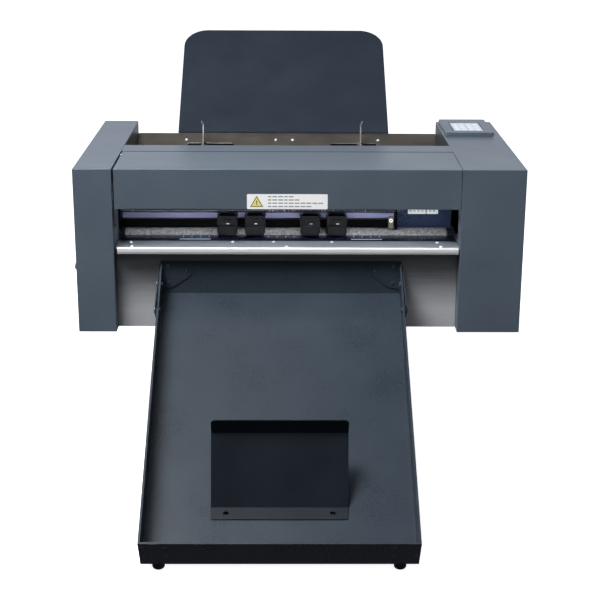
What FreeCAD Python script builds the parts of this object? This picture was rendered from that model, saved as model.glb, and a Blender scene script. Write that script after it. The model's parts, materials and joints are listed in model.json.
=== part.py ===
"""Desktop sheet-fed cutting plotter: a low, wide machine with two end covers, a hinged hood, a steel
drum with four pinch rollers, a knife carriage that parks in the right cover, a paper support and feed
ramp at the back, and a sloping catch tray with a sliding stop at the front.

Millimetres. +X is to the right of someone facing the machine, +Y to the back, +Z up. The origin is the
centre of the base pan's underside. Depths d are measured back from the front faces of the end covers."""

import FreeCAD
import Part
import math
import os

V = FreeCAD.Vector

# ---------------------------------------------------------------- body
body_width = 680.0
body_depth = 401.0
body_height = 256.0
left_cover_width = 58.4
right_cover_width = 96.4
cover_wall = 2.5
cover_edge_radius = 1.2
cover_return_depth = 60.0
sheet = 1.5
plate = 2.5
hood_height = 61.0
throat_height = 61.5
base_inset = 3.0
base_flange = 14.0
foot_radius = 14.0
foot_height = 8.0
foot_inset_x = 42.0
foot_inset_d = 66.0
stand_bolt_spacing_x = 480.0
stand_bolt_spacing_y = 240.0
stand_bolt_radius = 3.3

# ---------------------------------------------------------------- platform and front
front_edge_depth = 6.0
front_edge_height = 9.5
front_edge_proud = 0.5
front_edge_left_gap = 4.8
front_edge_right_gap = 2.2
strip_front = 45.0
strip_thickness = 0.8
platform_drum_gap = 0.6
front_panel_d = 27.0
catch_height = 27.0
catch_depth = 15.0

# ---------------------------------------------------------------- drum and pinch rollers
drum_d = 93.0
drum_radius = 15.0
drum_rise = 9.3
drum_left_gap = 8.5
drum_right_gap = 12.0
shaft_radius = 5.0
running_gap = 0.05
bearing_size = 24.0
drum_behind_gap = 0.5
beam_size = 12.0
beam_front_d = 86.0
beam_rise = 11.7
beam_right_from_centre = 150.0
hanger_thickness = 3.0
hanger_front_d = 72.0
hanger_rise = 11.0
pinch_rail_d = 102.0
pinch_rail_rise = 16.5
pinch_rail_height = 14.0
pinch_roller_radius = 5.5
pinch_roller_width = 14.0
pinch_gap = 0.3
pinch_angle = 45.0
pinch_axle_radius = 2.0
pinch_arm_width = 31.0
pinch_arm_front_d = 69.0
pinch_arm_rise = 33.0
pinch_pivot_d = 90.0
pinch_pivot_rise = 29.5
pinch_centres = [-112.5, -69.0, 17.0, 58.5]
lift_rod_d = 80.0
lift_rod_rise = 40.5
lift_rod_radius = 2.5
end_block_width = 8.0
end_block_height = 18.0

# ---------------------------------------------------------------- carriage
rail_front_d = 95.0
rail_depth = 16.0
rail_height = 24.0
rail_rise = 50.5
rail_end_gap = 6.0
carriage_drop = 6.0
carriage_block_depth = 24.0
carriage_wall = 2.5
carriage_nose_inset = 14.0
tool_nose_height = 28.0
carriage_hanger_gap = 0.8
carriage_width = 60.0
carriage_park_gap = 9.0
carriage_height = 38.0
slide_gap = 0.45
tool_d = 54.0
tool_radius = 7.0
tool_stroke = 7.0
touch_gap = 0.3
belt_behind_rail = 8.0
belt_width = 6.0
belt_thickness = 1.4
carriage_pulley_radius = 8.0
motor_size = 42.0
motor_length = 38.0

# ---------------------------------------------------------------- paper feed
ramp_foot_d = 184.4
ramp_slope = 25.0
feed_d = 160.0
feed_shaft_radius = 4.0
feed_roller_radius = 14.0
feed_roller_width = 30.0
feed_roller_pitch = 100.0
paper_centre = -28.0
guide_half_width = 137.0
guide_slot_inner = 85.0
guide_slot_outer = 165.0
guide_height = 35.0
guide_from_rear = 30.0
ramp_rivet_from_rear = 18.2
ramp_rivet_places = (-196.0, -39.0, -9.6, 141.0)
support_width = 372.0
support_length = 272.0
support_corner = 44.0
support_slope = 33.9
support_flange = 14.0
drum_pulley_radius = 14.0
feed_pulley_radius = 12.0
motor_pulley_radius = 8.0
drum_motor_drop = 70.0

# ---------------------------------------------------------------- hood
seam_d = 130.0
seam_gap = 1.2
hood_left_gap = 3.1
hood_right_gap = 1.1
hood_lip = 9.0
hood_pin_radius = 1.7
hood_axis_drop = 4.5
hood_cheek_height = 25.5
top_strip_rear_d = 182.7

# ---------------------------------------------------------------- catch tray
tray_centre = -28.4
tray_width = 370.0
tray_length = 473.2
tray_wall_height = 50.6
tray_rear_height = 50.7
tray_slope = 32.2
tray_rear_d = 22.0
tray_bend_below_platform = 76.0
tray_sheet = 1.5
tray_hem = 5.0
tray_tab = 46.0
tray_pivot_d = -5.0
tray_pivot_drop = 55.0
tray_clamp_d = -50.0
tray_clamp_drop = 81.5
tray_screw_radius = 3.0
hanger_side_gap = 1.0
tray_up_angle = 6.0
tray_slot_down_angle = 7.0
tray_foot_radius = 8.5
tray_foot_setback = 10.5
tray_foot_drop = 12.0
stop_width = 188.0
stop_flange = 19.3
stop_face = 103.0
stop_lean = 40.0
stop_lip = 26.0
stop_lip_lean = 83.0
stop_from_rear = 387.5
stop_corner = 7.0

# ---------------------------------------------------------------- controls and back
screen_width = 80.0
screen_depth = 124.0
screen_height = 6.5
screen_right_gap = 13.0
screen_rear_gap = 12.0
glass_width = 52.0
glass_depth = 77.0
glass_from_front = 17.0
button_radius = 5.0
button_d = 14.0
button_z = 101.5
button_stroke = 1.2
button_proud = 3.0
inlet_width = 28.0
inlet_height = 58.0
inlet_from_right = 60.0
inlet_z = 52.0
rocker_half_width = 8.0
rocker_drop = 17.0
rocker_pin_radius = 1.2
rocker_pin_depth = 3.0
rocker_pin_grip = 1.5
board_thickness = 1.6
board_rise = 8.0
supply_width = 98.0
supply_length = 160.0
supply_height = 38.0
supply_from_right = 20.0
supply_from_rear = 40.0

# ---------------------------------------------------------------- derived
FRONT = -body_depth / 2
LEFT = -body_width / 2
RIGHT = body_width / 2
inner_left = LEFT + left_cover_width
inner_right = RIGHT - right_cover_width
platform_top = body_height - hood_height - throat_height
strip_top = platform_top + strip_thickness
hood_bottom = body_height - hood_height
base_front_d = front_panel_d + sheet
drum_z = platform_top + drum_rise - drum_radius
platform_rear_d = drum_d - drum_radius - platform_drum_gap
rear_platform_d = drum_d + drum_radius + drum_behind_gap
beam_z = platform_top + beam_rise
beam_right = beam_right_from_centre
hanger_z = platform_top + hanger_rise
rail_z = platform_top + rail_rise
rail_rear_d = rail_front_d + rail_depth
pinch_reach = drum_radius + pinch_roller_radius + pinch_gap
pinch_d = drum_d - pinch_reach * math.cos(math.radians(pinch_angle))
pinch_z = drum_z + pinch_reach * math.sin(math.radians(pinch_angle))
pinch_pivot_z = platform_top + pinch_pivot_rise
lift_rod_z = platform_top + lift_rod_rise
feed_z = platform_top + touch_gap + feed_roller_radius
ramp_tan = math.tan(math.radians(ramp_slope))
ramp_drop = sheet / math.cos(math.radians(ramp_slope))
hood_axis_d = seam_d - hood_axis_drop
hood_axis_z = body_height - hood_axis_drop
guide_d = body_depth - guide_from_rear
belt_d = rail_rear_d + belt_behind_rail
belt_z = rail_z + rail_height / 2
carriage_left = inner_right + plate + carriage_park_gap
pulley_x = LEFT + cover_wall + 19.0
tray_bend_z = platform_top - tray_bend_below_platform
tray_pivot_z = platform_top - tray_pivot_drop
tray_clamp_z = platform_top - tray_clamp_drop
tray_left = tray_centre - tray_width / 2
tray_right = tray_centre + tray_width / 2
rocker_z = inlet_z + inlet_height / 2 - rocker_drop


def ramp_height(d):
    """Height of the feed ramp's upper face at depth d."""
    return platform_top + (d - ramp_foot_d) * ramp_tan


ramp_top = ramp_height(body_depth)


# ---------------------------------------------------------------- shape helpers
def block(x0, x1, d0, d1, z0, z1):
    return Part.makeBox(x1 - x0, d1 - d0, z1 - z0, V(x0, FRONT + d0, z0))


def rod_x(x0, x1, d, z, radius):
    return Part.makeCylinder(radius, x1 - x0, V(x0, FRONT + d, z), V(1, 0, 0))


def rod_y(x, d0, d1, z, radius):
    return Part.makeCylinder(radius, d1 - d0, V(x, FRONT + d0, z), V(0, 1, 0))


def rod_z(x, d, z0, z1, radius):
    return Part.makeCylinder(radius, z1 - z0, V(x, FRONT + d, z0), V(0, 0, 1))


def profile_x(outline, x0, x1):
    """A solid from an outline of (depth, height) points, drawn from x0 to x1."""
    points = [V(x0, FRONT + d, z) for d, z in outline]
    face = Part.Face(Part.makePolygon(points + points[:1]))
    return face.extrude(V(x1 - x0, 0, 0))


def profile_y(outline, d0, d1):
    """A solid from an outline of (x, height) points, drawn from d0 to d1."""
    points = [V(x, FRONT + d0, z) for x, z in outline]
    face = Part.Face(Part.makePolygon(points + points[:1]))
    return face.extrude(V(0, d1 - d0, 0))


def fuse(shapes):
    whole = shapes[0]
    for piece in shapes[1:]:
        whole = whole.fuse(piece)
    return whole.removeSplitter()


def cut(shape, tools):
    for tool in tools:
        shape = shape.cut(tool)
    return shape


def round_edges(shape, radius, wanted):
    """Round every straight edge whose middle point and direction pass the test."""
    chosen = []
    for edge in shape.Edges:
        if edge.Curve.TypeId != "Part::GeomLine":
            continue
        middle = edge.valueAt((edge.FirstParameter + edge.LastParameter) / 2)
        if wanted(middle, edge.tangentAt(edge.FirstParameter)):
            chosen.append(edge)
    return shape.makeFillet(radius, chosen)


def belt_loop(x1, y1, r1, x2, y2, r2, width):
    """A flat belt round two pulleys in the XY plane, its inner face just clear of them."""
    def filled(extra):
        a, b = r1 + extra, r2 + extra
        span = math.hypot(x2 - x1, y2 - y1)
        along = math.atan2(y2 - y1, x2 - x1)
        lean = math.acos((a - b) / span)
        corners = []
        for cx, cy, r, side in ((x1, y1, a, 1), (x2, y2, b, 1), (x2, y2, b, -1), (x1, y1, a, -1)):
            turn = along + side * lean
            corners.append(V(cx + r * math.cos(turn), cy + r * math.sin(turn), 0))
        web = Part.Face(Part.makePolygon(corners + corners[:1])).extrude(V(0, 0, width))
        ends = [Part.makeCylinder(a, width, V(x1, y1, 0)), Part.makeCylinder(b, width, V(x2, y2, 0))]
        return fuse([web] + ends)
    return filled(touch_gap + belt_thickness).cut(filled(touch_gap))


def pulley_x_axis(x0, x1, d, z, radius):
    """A toothed-belt pulley on an X axle, with a flange at each side."""
    flange = 1.2
    drum = rod_x(x0, x1, d, z, radius)
    sides = [rod_x(x0, x0 + flange, d, z, radius + 2.0), rod_x(x1 - flange, x1, d, z, radius + 2.0)]
    return fuse([drum] + sides)


def save(name, shape):
    shape.exportStep("parts/" + name + ".step")


# ---------------------------------------------------------------- base and frame
def base_pan():
    left, right = LEFT + base_inset, RIGHT - base_inset
    front, rear = base_front_d, body_depth - base_inset
    floor = block(left, right, front, rear, 0, sheet)
    rims = [
        block(left, right, front, front + sheet, 0, base_flange),
        block(left, right, rear - sheet, rear, 0, base_flange),
        block(left, left + sheet, front, rear, 0, base_flange),
        block(right - sheet, right, front, rear, 0, base_flange),
    ]
    middle = body_depth / 2
    holes = []
    for sx in (-1, 1):
        for sy in (-1, 1):
            x = sx * stand_bolt_spacing_x / 2
            d = middle + sy * stand_bolt_spacing_y / 2
            holes.append(rod_z(x, d, -1, sheet + 1, stand_bolt_radius))
    for n in range(9):
        x = -60.0 + n * 15.0
        holes.append(block(x, x + 5.0, middle - 30.0, middle + 30.0, -1, sheet + 1))
    return cut(fuse([floor] + rims), holes)


def machine_feet():
    feet = []
    for x in (LEFT + foot_inset_x, RIGHT - foot_inset_x):
        for d in (foot_inset_d, body_depth - foot_inset_d):
            foot = Part.makeCone(
                foot_radius - 1.5, foot_radius, foot_height, V(x, FRONT + d, -foot_height), V(0, 0, 1)
            )
            feet.append(foot)
    return Part.makeCompound(feet)


def cover_shell(x0, x1, inner_side):
    """An end cover: front, back, top and outer wall, a short inner return, and no floor."""
    shell = block(x0, x1, 0, body_depth, 0, body_height)
    hollow = block(
        x0 + cover_wall, x1 - cover_wall, cover_wall, body_depth - cover_wall, -1, body_height - cover_wall
    )
    shell = round_edges(
        shell,
        cover_edge_radius,
        lambda p, t: p.z > body_height - 1 or (abs(t.z) > 0.9 and p.y < FRONT + 1),
    )
    shell = shell.cut(hollow)
    side0, side1 = (x1 - cover_wall, x1 + 1) if inner_side > 0 else (x0 - 1, x0 + cover_wall)
    open_side = block(
        side0, side1, cover_return_depth, body_depth - cover_wall, -1, body_height - cover_wall
    )
    pan_notch = block(side0, side1, base_front_d - 0.3, cover_return_depth + 1, -1, base_flange + 0.5)
    return cut(shell, [open_side, pan_notch])


def carriage_window(x0, x1):
    """The opening that lets the carriage into the right cover."""
    return block(x0, x1, 34.0, belt_d + 10.0, platform_top + 5.0, rail_z + carriage_height + 4.0)


def left_end_cover():
    cover = cover_shell(LEFT, inner_left, 1)
    button_hole = rod_x(LEFT - 1, LEFT + cover_wall + 1, button_d, button_z, button_radius - 1.5 + 0.1)
    return cover.cut(button_hole)


def right_end_cover():
    cover = cover_shell(inner_right, RIGHT, -1)
    return cover.cut(carriage_window(inner_right - 1, inner_right + cover_wall + 1))


def frame_plate(x0):
    plate_top = body_height - cover_wall
    rear = body_depth - base_inset - sheet
    wall = block(x0, x0 + plate, cover_return_depth, rear, sheet, plate_top)
    holes = [
        rod_x(x0 - 1, x0 + plate + 1, drum_d, drum_z, shaft_radius + 1.5),
        rod_x(x0 - 1, x0 + plate + 1, feed_d, feed_z, feed_shaft_radius + running_gap),
        rod_x(x0 - 1, x0 + plate + 1, hood_axis_d, hood_axis_z, hood_pin_radius),
    ]
    return cut(wall, holes)


def left_frame_plate():
    x0 = inner_left - plate
    motor_z = drum_z - drum_motor_drop
    holes = [
        rod_x(x0 - 1, inner_left + 1, drum_d, motor_z, 4.0),
        rod_x(x0 - 1, inner_left + 1, lift_rod_d, lift_rod_z, lift_rod_radius + 0.5),
    ]
    return cut(frame_plate(x0), holes)


def right_frame_plate():
    window = carriage_window(inner_right - 1, inner_right + plate + 1)
    return frame_plate(inner_right).cut(window)


def front_panel():
    gap = 0.4
    return block(
        inner_left + gap,
        inner_right - gap,
        front_panel_d,
        front_panel_d + sheet,
        0.0,
        platform_top - 2.0,
    )


def rear_panel():
    gap = 0.4
    rear = body_depth - sheet
    panel = block(inner_left + gap, inner_right - gap, rear - sheet, rear, sheet, ramp_top - 5.0)
    x = inner_right - inlet_from_right
    inlet_hole = block(
        x - inlet_width / 2 + 1.5,
        x + inlet_width / 2 - 1.5,
        rear - 5,
        rear + 1,
        inlet_z - inlet_height / 2 + 1.5,
        inlet_z + inlet_height / 2 - 1.5,
    )
    slots = [inlet_hole]
    for n in range(14):
        sx = paper_centre - 98.0 + n * 14.0
        slots.append(block(sx, sx + 5.0, rear - 5, rear + 1, 60.0, 110.0))
    return cut(panel, slots)


def platform():
    gap = 0.4
    left, right = inner_left + gap, inner_right - gap
    top = block(left, right, front_edge_depth, platform_rear_d, platform_top - 2.0, platform_top)
    flange = block(left, right, platform_rear_d - 2.0, platform_rear_d, platform_top - 14.0, platform_top)
    holes = [rod_z(x, d, platform_top - 3, platform_top + 1, 1.6) for x, d in platform_screw_places()]
    return cut(fuse([top, flange]), holes)


def platform_screw_places():
    places = []
    for x in (inner_left + 23.0, inner_right - 31.0):
        places += [(x, 36.0), (x + 3.0, 12.0)]
    for x in (-103.0, -40.0, 50.0):
        places.append((x, 38.0))
    places.append((-20.0, 12.0))
    return places


def front_edge():
    """The aluminium extrusion along the platform's front, with a shadow line in its face."""
    top = platform_top + front_edge_proud
    bottom = top - front_edge_height
    outline = [
        (0.0, bottom + 3.0),
        (0.0, top - 1.0),
        (1.0, top),
        (front_edge_depth, top),
        (front_edge_depth, bottom),
        (1.0, bottom),
        (0.4, bottom + 2.6),
    ]
    return profile_x(outline, inner_left + front_edge_left_gap, inner_right - front_edge_right_gap)


def cutting_strip():
    gap = 2.2
    return block(
        inner_left + gap, inner_right - gap, strip_front, platform_rear_d, platform_top, strip_top
    )


def hood_catch():
    """The bright bracket on the left inner wall that the closed hood rests beside."""
    top = hood_bottom - 3.0
    bottom = top - catch_height
    outline = [
        (6.0, top),
        (6.0 + catch_depth, top),
        (6.0 + catch_depth, bottom + 12.0),
        (11.0, bottom),
        (6.0, bottom),
    ]
    foot = block(inner_left, inner_left + 4.0, 6.0, 6.0 + sheet, bottom, top)
    return fuse([profile_x(outline, inner_left, inner_left + sheet), foot])


# ---------------------------------------------------------------- drum, beam and pinch rollers
def drum():
    roller = rod_x(inner_left + drum_left_gap, inner_right - drum_right_gap, drum_d, drum_z, drum_radius)
    shaft = rod_x(pulley_x - 12.0, inner_right + plate + 6.0, drum_d, drum_z, shaft_radius)
    return fuse([roller, shaft])


def drum_pulleys():
    """Two pulleys side by side on the drum's left end: the motor's belt and the feed shaft's belt."""
    outer = pulley_x_axis(pulley_x - 10.0, pulley_x, drum_d, drum_z, drum_pulley_radius)
    inner = pulley_x_axis(pulley_x, pulley_x + 10.0, drum_d, drum_z, drum_pulley_radius)
    bore = rod_x(pulley_x - 11.0, pulley_x + 11.0, drum_d, drum_z, shaft_radius)
    return fuse([outer, inner]).cut(bore)


def drum_bearings():
    half = bearing_size / 2
    blocks = []
    for x0, x1 in ((inner_left, inner_left + 7.0), (inner_right - 10.5, inner_right)):
        body = block(x0, x1, drum_d - half, drum_d + half, drum_z - half, drum_z + half)
        bore = rod_x(x0 - 1, x1 + 1, drum_d, drum_z, shaft_radius + running_gap)
        blocks.append(body.cut(bore))
    return Part.makeCompound(blocks)


def pinch_beam():
    return block(
        inner_left + hanger_thickness,
        beam_right,
        beam_front_d,
        beam_front_d + beam_size,
        beam_z,
        beam_z + beam_size,
    )


def pinch_rail():
    z0 = platform_top + pinch_rail_rise
    return block(
        inner_left + hanger_thickness, beam_right, pinch_rail_d, pinch_rail_d + sheet, z0,
        z0 + pinch_rail_height,
    )


def rail_brackets():
    """Left and right hangers for the beam, and the stand at the rail's far end."""
    rear = rail_rear_d - sheet
    rod_hole_radius = lift_rod_radius + running_gap
    left = block(
        inner_left, inner_left + hanger_thickness, hanger_front_d, rear, hanger_z, rail_z + rail_height
    )
    left = left.cut(rod_x(inner_left - 1, inner_left + 9, lift_rod_d, lift_rod_z, rod_hole_radius))
    right = block(beam_right, beam_right + hanger_thickness, hanger_front_d, rear, hanger_z, rail_z)
    carriage_way = block(
        beam_right - 1, beam_right + hanger_thickness + 1, hanger_front_d - 1, rail_front_d,
        rail_z - carriage_drop - carriage_hanger_gap, rail_z + 1,
    )
    rod_hole = rod_x(beam_right - 1, beam_right + 9, lift_rod_d, lift_rod_z, rod_hole_radius)
    right = cut(right, [rod_hole, carriage_way])
    stand_x = RIGHT - cover_wall - rail_end_gap
    stand_plate = block(
        stand_x, stand_x + hanger_thickness, rail_front_d - 15, rail_rear_d + 2, sheet, rail_z + rail_height
    )
    stand_foot = block(
        stand_x - 18, stand_x + hanger_thickness, rail_front_d - 15, rail_rear_d + 2, sheet, sheet + 2.5
    )
    return Part.makeCompound([left, right, fuse([stand_plate, stand_foot])])


def beam_end_block():
    x1 = beam_right - 2.5
    z0 = beam_z + 0.3
    body = block(x1 - end_block_width, x1, beam_front_d - 9, beam_front_d, z0, z0 + end_block_height)
    ring = rod_y(x1 - 4.0, beam_front_d - 11, beam_front_d - 9, z0 + 7.0, 2.8)
    socket = rod_y(x1 - 4.0, beam_front_d - 12, beam_front_d - 9, z0 + 7.0, 1.4)
    return fuse([body, ring]).cut(socket)


def lift_rod():
    """The steel rod that raises the pinch arms, with its crank inside the left cover."""
    rod = rod_x(inner_left - 18.0, beam_right + 8.0, lift_rod_d, lift_rod_z, lift_rod_radius)
    crank = block(
        inner_left - 17.0, inner_left - 13.0, lift_rod_d - 3, lift_rod_d + 3, lift_rod_z - 24, lift_rod_z + 5
    )
    return fuse([rod, crank])


def pinch_bracket(x):
    """The fixed saddle on the beam that carries one arm's pivot."""
    half = pinch_arm_width / 2 - 4.0
    beam_top = beam_z + beam_size
    rear = beam_front_d + beam_size
    saddle = block(x - half, x + half, beam_front_d - 1, rear + 2.5, beam_top, beam_top + 2.5)
    lip = block(x - half, x + half, rear, rear + 2.5, beam_z + 2, beam_top + 1)
    boss = block(
        x - half, x + half, pinch_pivot_d - 4, pinch_pivot_d + 4, beam_top, pinch_pivot_z + 4.0
    )
    pin_hole = rod_x(x - half - 1, x + half + 1, pinch_pivot_d, pinch_pivot_z, pinch_axle_radius)
    pin = rod_x(
        x - pinch_arm_width / 2 - 1, x + pinch_arm_width / 2 + 1, pinch_pivot_d, pinch_pivot_z,
        pinch_axle_radius,
    )
    return fuse([fuse([saddle, lip, boss]).cut(pin_hole), pin])


def pinch_brackets():
    return Part.makeCompound([pinch_bracket(x) for x in pinch_centres])


def pinch_arm(x):
    """One pivoting arm: two cheeks joined by a front plate, with the roller's axle across them."""
    half = pinch_arm_width / 2
    cheek = 2.0
    top = platform_top + pinch_arm_rise
    under = pinch_pivot_z - 3.5
    outline = [
        (pinch_arm_front_d, beam_z + 0.5),
        (pinch_d - 4.0, pinch_z - 4.5),
        (pinch_d + 2.0, pinch_z - 4.5),
        (beam_front_d - 2.0, beam_z + 0.5),
        (beam_front_d - 2.0, under),
        (pinch_pivot_d + 4.0, under),
        (pinch_pivot_d + 4.0, top),
        (pinch_arm_front_d, top),
    ]
    cheeks = [
        profile_x(outline, x - half, x - half + cheek),
        profile_x(outline, x + half - cheek, x + half),
    ]
    front = block(
        x - half, x + half, pinch_arm_front_d, pinch_arm_front_d + 2.0, beam_z + 0.5, top
    )
    pivot_hole = rod_x(
        x - half - 1, x + half + 1, pinch_pivot_d, pinch_pivot_z, pinch_axle_radius + running_gap
    )
    axle = rod_x(x - half, x + half, pinch_d, pinch_z, pinch_axle_radius)
    return fuse([cut(fuse(cheeks + [front]), [pivot_hole]), axle])


def pinch_roller(x):
    """The rubber roller on one arm's axle."""
    half = pinch_roller_width / 2
    tyre = rod_x(x - half, x + half, pinch_d, pinch_z, pinch_roller_radius)
    bore = rod_x(x - half - 1, x + half + 1, pinch_d, pinch_z, pinch_axle_radius + running_gap)
    return tyre.cut(bore)


def throat_panel():
    return block(
        inner_left + hanger_thickness,
        inner_right - hanger_thickness,
        rail_rear_d - sheet,
        rail_rear_d,
        platform_top + 5.0,
        rail_z,
    )


# ---------------------------------------------------------------- carriage
def carriage_rail():
    x0 = inner_left + hanger_thickness
    x1 = RIGHT - cover_wall - rail_end_gap
    bar = block(x0, x1, rail_front_d, rail_rear_d, rail_z, rail_z + rail_height)
    hollow = block(
        x0 - 1, x1 + 1, rail_front_d + 2, rail_rear_d - 2, rail_z + 2, rail_z + rail_height - 2
    )
    groove = block(
        x0 - 1, x1 + 1, rail_front_d - 1, rail_front_d + 1, rail_z + 10, rail_z + rail_height - 10
    )
    axle = rod_y(x0 + 17.0, rail_rear_d, belt_d + 6.0, belt_z, 3.0)
    return fuse([cut(bar, [hollow, groove]), axle])


def carriage():
    """The block that rides on the rail, its hook over the rail's top, and the fork on the belt."""
    x0, x1 = carriage_left, carriage_left + carriage_width
    front = rail_front_d - slide_gap
    rail_top = rail_z + rail_height + slide_gap
    rear = rail_rear_d + slide_gap
    bottom = rail_z - carriage_drop
    back = front - carriage_block_depth
    body = block(x0, x1, back, front, bottom, rail_z + carriage_height)
    roof = block(x0, x1, back, rear + carriage_wall, rail_top, rail_top + 4.0)
    hook = block(x0, x1, rear, rear + carriage_wall, rail_top - 7.0, rail_top + 4.0)
    nose = block(
        x0 + carriage_nose_inset, x1 - carriage_nose_inset, tool_d - tool_radius - 4.0, back,
        rail_z, rail_z + tool_nose_height,
    )
    middle = (x0 + x1) / 2
    strand = belt_z + carriage_pulley_radius + touch_gap + belt_thickness / 2
    half_slot = belt_thickness / 2 + touch_gap + 0.1
    fork = block(
        middle - 8, middle + 8, rear, belt_d + belt_width / 2 + 1,
        strand - half_slot - carriage_wall, strand + half_slot + carriage_wall,
    )
    slot = block(
        middle - 9, middle + 9, rear + carriage_wall, belt_d + belt_width / 2 + 2, strand - half_slot,
        strand + half_slot,
    )
    bore = rod_z(middle, tool_d, bottom, bottom + 40.0, tool_radius - 1.0 + running_gap)
    return cut(fuse([body, roof, hook, nose, fork]), [slot, bore])


def tool_holder():
    """The knife in its holder: a stem in the carriage, a collar below and a knob above."""
    middle = carriage_left + carriage_width / 2
    tip = strip_top + touch_gap + tool_stroke
    nose_top = rail_z + tool_nose_height
    stem = rod_z(middle, tool_d, tip + 10.0, nose_top + tool_stroke + 6.0, tool_radius - 1.0)
    collar = rod_z(middle, tool_d, tip + 10.0, rail_z - 2.0, tool_radius)
    knob = rod_z(
        middle, tool_d, nose_top + tool_stroke + 1.0, nose_top + tool_stroke + 8.0, tool_radius + 2.0
    )
    cone = Part.makeCone(
        1.0, tool_radius - 2.0, 10.0, V(middle, FRONT + tool_d, tip), V(0, 0, 1)
    )
    return fuse([stem, collar, knob, cone])


def pulley_y(x, bore_radius):
    drum_part = rod_y(x, belt_d - belt_width / 2 - 1, belt_d + belt_width / 2 + 1, belt_z,
                      carriage_pulley_radius)
    bore = rod_y(x, belt_d - 9, belt_d + 9, belt_z, bore_radius)
    return drum_part.cut(bore)


def idler_x():
    return inner_left + hanger_thickness + 17.0


def drive_x():
    return RIGHT - cover_wall - motor_size / 2 - 4.0


def stepper_motors():
    """The carriage motor behind the rail's right end and the drum motor under the platform."""
    half = motor_size / 2
    x, z = drive_x(), belt_z
    d0 = belt_d + belt_width / 2 + 4.0
    carriage_motor = fuse([
        block(x - half, x + half, d0, d0 + motor_length, z - half, z + half),
        rod_y(x, belt_d - belt_width / 2, d0, z, 2.5),
    ])
    z = drum_z - drum_motor_drop
    drum_motor = fuse([
        block(
            inner_left, inner_left + motor_length, drum_d - half, drum_d + half, z - half, z + half
        ),
        rod_x(pulley_x - 10.0, inner_left, drum_d, z, 2.5),
    ])
    return Part.makeCompound([carriage_motor, drum_motor])


def motor_pulley():
    z = drum_z - drum_motor_drop
    wheel = pulley_x_axis(pulley_x - 10.0, pulley_x, drum_d, z, motor_pulley_radius)
    return wheel.cut(rod_x(pulley_x - 11.0, pulley_x + 1.0, drum_d, z, 2.5 + running_gap))


def timing_belts():
    """The carriage belt along the rail, the motor's belt to the drum, and the drum's to the feed."""
    carriage_belt = belt_loop(
        idler_x(), belt_z, carriage_pulley_radius, drive_x(), belt_z, carriage_pulley_radius, belt_width
    )
    carriage_belt.rotate(V(0, 0, 0), V(1, 0, 0), 90)
    carriage_belt.translate(V(0, FRONT + belt_d + belt_width / 2, 0))
    motor_z = drum_z - drum_motor_drop
    motor_belt = belt_loop(
        drum_d, drum_z, drum_pulley_radius, drum_d, motor_z, motor_pulley_radius, belt_width
    )
    feed_belt = belt_loop(
        drum_d, drum_z, drum_pulley_radius, feed_d, feed_z, feed_pulley_radius, belt_width
    )
    for loop, middle in ((motor_belt, pulley_x - 5.0), (feed_belt, pulley_x + 5.0)):
        loop.rotate(V(0, 0, 0), V(1, 1, 1), 120)
        loop.translate(V(middle - belt_width / 2, FRONT, 0))
    return Part.makeCompound([carriage_belt, motor_belt, feed_belt])


# ---------------------------------------------------------------- paper feed and rear
def feed_ramp():
    """One bent stainless sheet: level behind the drum, then rising to the back edge."""
    gap = 0.4
    rear = body_depth
    outline = [
        (rear_platform_d, platform_top - sheet),
        (rear_platform_d, platform_top),
        (ramp_foot_d, platform_top),
        (rear, ramp_top),
        (rear, ramp_top - 18.0),
        (rear - sheet, ramp_top - 18.0),
        (rear - sheet, ramp_top - ramp_drop - sheet * ramp_tan),
        (ramp_foot_d, platform_top - sheet),
    ]
    sheet_metal = profile_x(outline, inner_left + gap, inner_right - gap)
    slots = []
    for side in (-1, 1):
        a = paper_centre + side * guide_slot_inner
        b = paper_centre + side * guide_slot_outer
        slots.append(block(min(a, b), max(a, b), guide_d - 3.0, guide_d + 3.0, platform_top, body_height))
    return cut(sheet_metal, slots)


def guide(side):
    """A side guide: an upright plate on the ramp, its top bent outwards, and a foot under its slot."""
    x = paper_centre + side * guide_half_width
    half = 0.9
    lift = 0.5
    top = ramp_height(guide_d) + guide_height
    outline = [
        (guide_d - 24.0, ramp_height(guide_d - 24.0) + lift),
        (guide_d + 5.0, ramp_height(guide_d + 5.0) + lift),
        (guide_d + 5.0, top - 8.0),
        (guide_d + 1.0, top),
        (guide_d - 7.0, top),
        (guide_d - 24.0, ramp_height(guide_d - 24.0) + 12.0),
    ]
    upright = profile_x(outline, x - half, x + half)
    bend = [(x - half, top - 0.5), (x + half, top - 0.5), (x + half + side * 3.2, top + 6.0),
            (x - half + side * 3.2, top + 6.0)]
    ear = profile_y(bend, guide_d - 6.0, guide_d + 1.0)
    neck = block(
        x - 5.0, x + 5.0, guide_d - 2.2, guide_d + 2.2, ramp_height(guide_d) - 10.0,
        ramp_height(guide_d) + 3.5,
    )
    under = ramp_height(guide_d - 8.0) - ramp_drop - 0.6
    foot = block(x - 9.0, x + 9.0, guide_d - 8.0, guide_d + 4.0, under - 5.0, under)
    return fuse([upright, ear, neck, foot])


def feed_shaft():
    wheel = pulley_x_axis(pulley_x, pulley_x + 10.0, feed_d, feed_z, feed_pulley_radius)
    shaft = rod_x(pulley_x - 4.0, inner_right + plate + 6.0, feed_d, feed_z, feed_shaft_radius)
    return fuse([wheel, shaft])


def feed_rollers():
    rollers = []
    for n in (-1, 0, 1):
        x = paper_centre + n * feed_roller_pitch
        half = feed_roller_width / 2
        tyre = rod_x(x - half, x + half, feed_d, feed_z, feed_roller_radius)
        bore = rod_x(x - half - 1, x + half + 1, feed_d, feed_z, feed_shaft_radius)
        rollers.append(tyre.cut(bore))
    return Part.makeCompound(rollers)


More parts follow.
